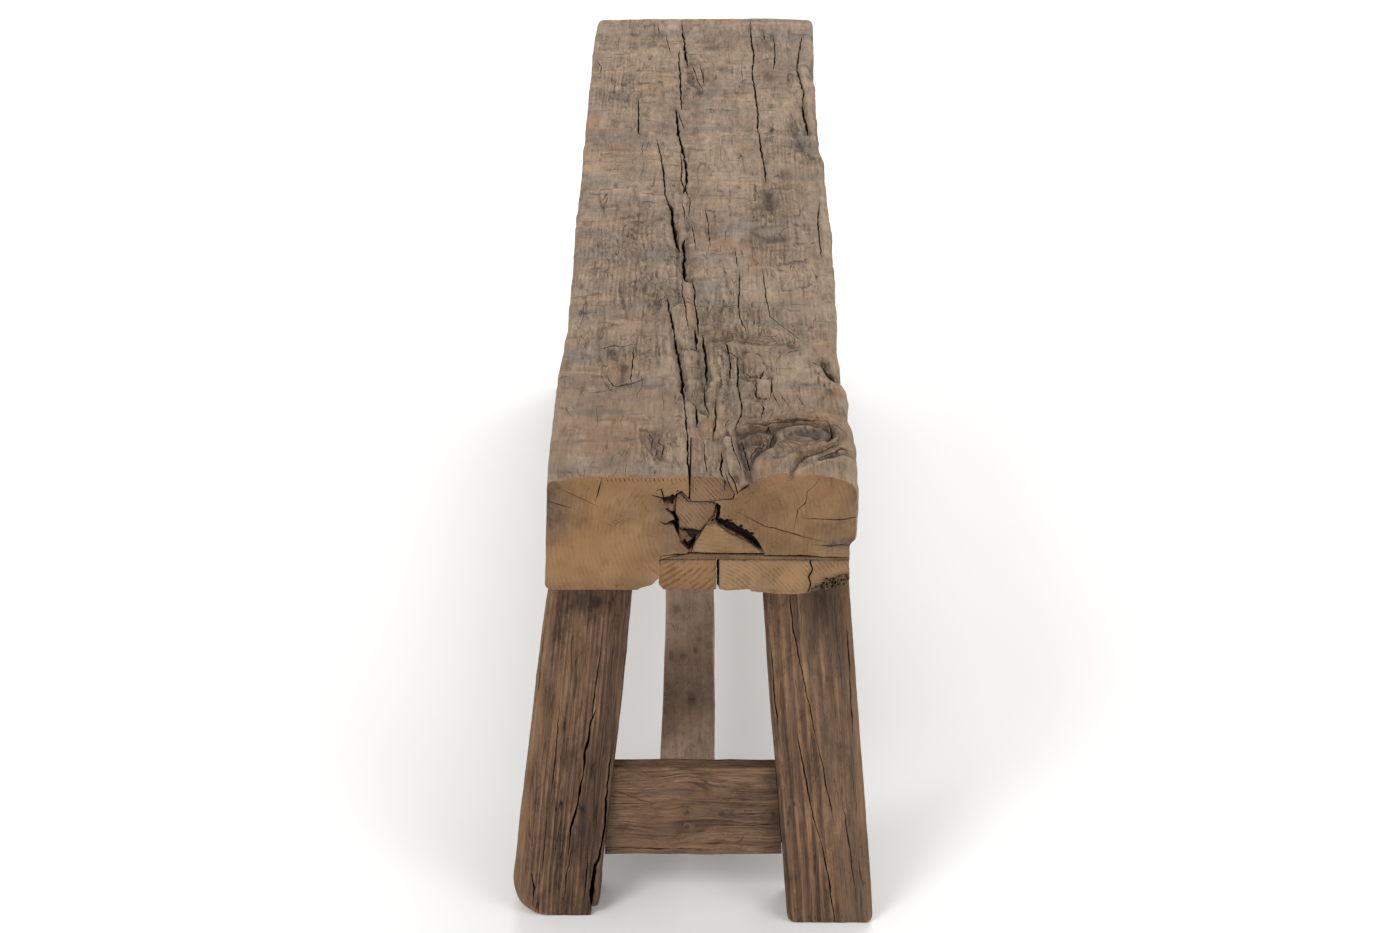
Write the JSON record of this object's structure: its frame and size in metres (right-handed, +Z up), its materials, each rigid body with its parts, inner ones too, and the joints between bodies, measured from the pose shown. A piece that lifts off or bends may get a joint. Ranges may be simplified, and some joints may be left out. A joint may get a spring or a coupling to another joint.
{
  "type": "rustic timber bench",
  "caption": "Rustic bench with a thick hewn beam as its seat, on splayed square legs joined by end stretchers and a long stretcher between them.",
  "frame": {"origin": "on the floor under the middle of the bench's box", "axes": "+X along the bench to its repaired end, +Y across it, to the right of someone who looks at that end, +Z up"},
  "size_m": [1.7, 0.356, 0.4945],
  "materials": {
    "beam_wood": "weathered, hewn and hand-worn, with checks and knots",
    "strip_wood": "dull, darker than its neighbours",
    "patch_wood": "sawn end grain under a thin wax",
    "leg_wood": "dark, coarse and worn at the arrises",
    "stretcher_wood": "dark brown, planed and worn",
    "wedge_wood": "sawn",
    "plug_wood": "dark end grain",
    "screw_steel": "plain steel"
  },
  "bodies": {
    "root": {"seat_beam": "beam_wood", "packing_strip": "strip_wood", "underside_patch_left": "patch_wood", "underside_patch_right": "patch_wood", "top_inlay": "patch_wood", "core_filler": "patch_wood", "core_wedge": "patch_wood", "near_left_leg": "leg_wood", "near_right_leg": "leg_wood", "far_left_leg": "leg_wood", "far_right_leg": "leg_wood", "near_end_stretcher": "stretcher_wood", "far_end_stretcher": "stretcher_wood", "long_stretcher": "stretcher_wood", "leg_tenon_wedges": "wedge_wood", "stretcher_screws": "screw_steel", "stretcher_plugs": "plug_wood", "patch_screws": "screw_steel"}
  },
  "joints": []
}
